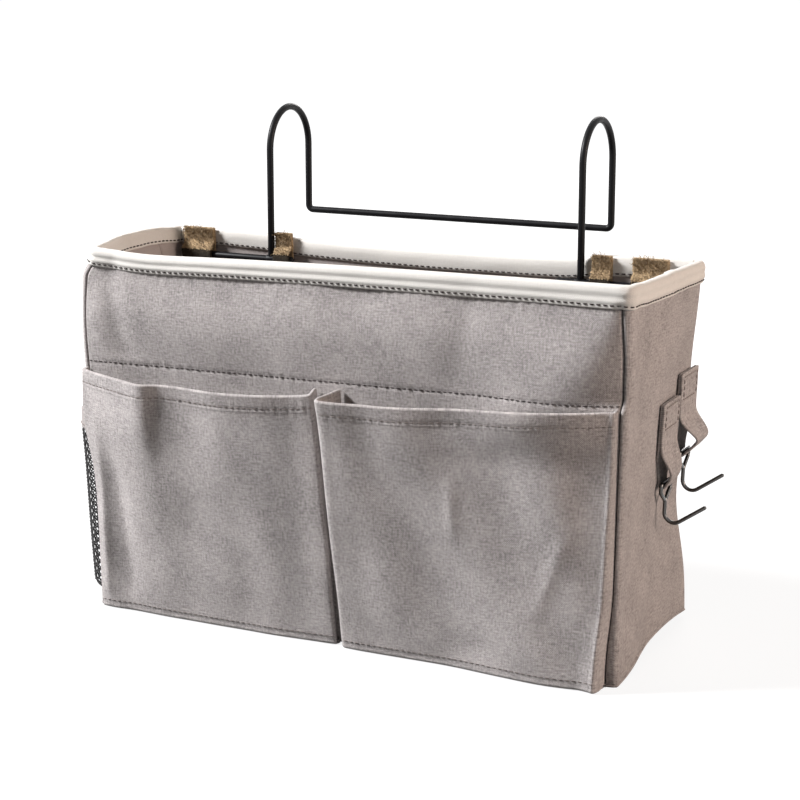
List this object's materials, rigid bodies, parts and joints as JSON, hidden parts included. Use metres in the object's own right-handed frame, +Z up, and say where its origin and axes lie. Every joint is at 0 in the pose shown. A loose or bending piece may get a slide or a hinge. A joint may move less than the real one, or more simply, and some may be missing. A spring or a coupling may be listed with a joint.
{
  "type": "bedside caddy",
  "caption": "Soft canvas bedside caddy with open compartment, front pockets, mesh side pocket and side hooks, hung from a bed rail by a bent-wire hanger.",
  "frame": {"origin": "centre of the underside of the base", "axes": "+X along the caddy to the right seen from the front, +Y towards the bed rail, +Z up"},
  "size_m": [0.362, 0.1804, 0.281],
  "materials": {
    "canvas": "matt woven canvas",
    "lining": "matt woven lining",
    "board": "plain stiffening board",
    "binding": "matt woven tape",
    "mesh": "knitted net",
    "tab": "hook-and-loop tape",
    "wire": "satin black coating",
    "plated": "bright nickel plate"
  },
  "bodies": {
    "bag": {"front_panel": "canvas", "back_panel": "canvas", "left_panel": "canvas", "right_panel": "canvas", "base_panel": "canvas", "front_board": "board", "back_board": "board", "base_board": "board", "lining_front": "lining", "lining_back": "lining", "lining_left": "lining", "lining_right": "lining", "lining_base": "lining", "rim_binding": "binding", "left_pocket": "canvas", "right_pocket": "canvas", "mesh_pocket": "mesh", "mesh_pocket_band": "canvas", "hook_strap_front": "canvas", "hook_strap_rear": "canvas", "hanger_tab_left_corner": "tab", "hanger_tab_left_leg": "tab", "hanger_tab_right_leg": "tab", "hanger_tab_right_corner": "tab"},
    "rail_hanger": {"hanger": "wire"},
    "front_hook": {"hook_front": "plated"},
    "rear_hook": {"hook_rear": "plated"}
  },
  "joints": [
    {"name": "hanger_tilt", "type": "hinge", "parent": "bag", "child": "rail_hanger", "pos_m": [0, 0.04562, 0.1905], "axis": [1, 0, 0], "range_deg": [-3, 90]},
    {"name": "hook_front_swing", "type": "hinge", "parent": "bag", "child": "front_hook", "pos_m": [0.16316, 0.014, 0.0909], "axis": [0, -1, 0], "range_deg": [-4, 75]},
    {"name": "hook_rear_swing", "type": "hinge", "parent": "bag", "child": "rear_hook", "pos_m": [0.1635, 0.044, 0.1019], "axis": [0, -1, 0], "range_deg": [-4, 75]}
  ]
}
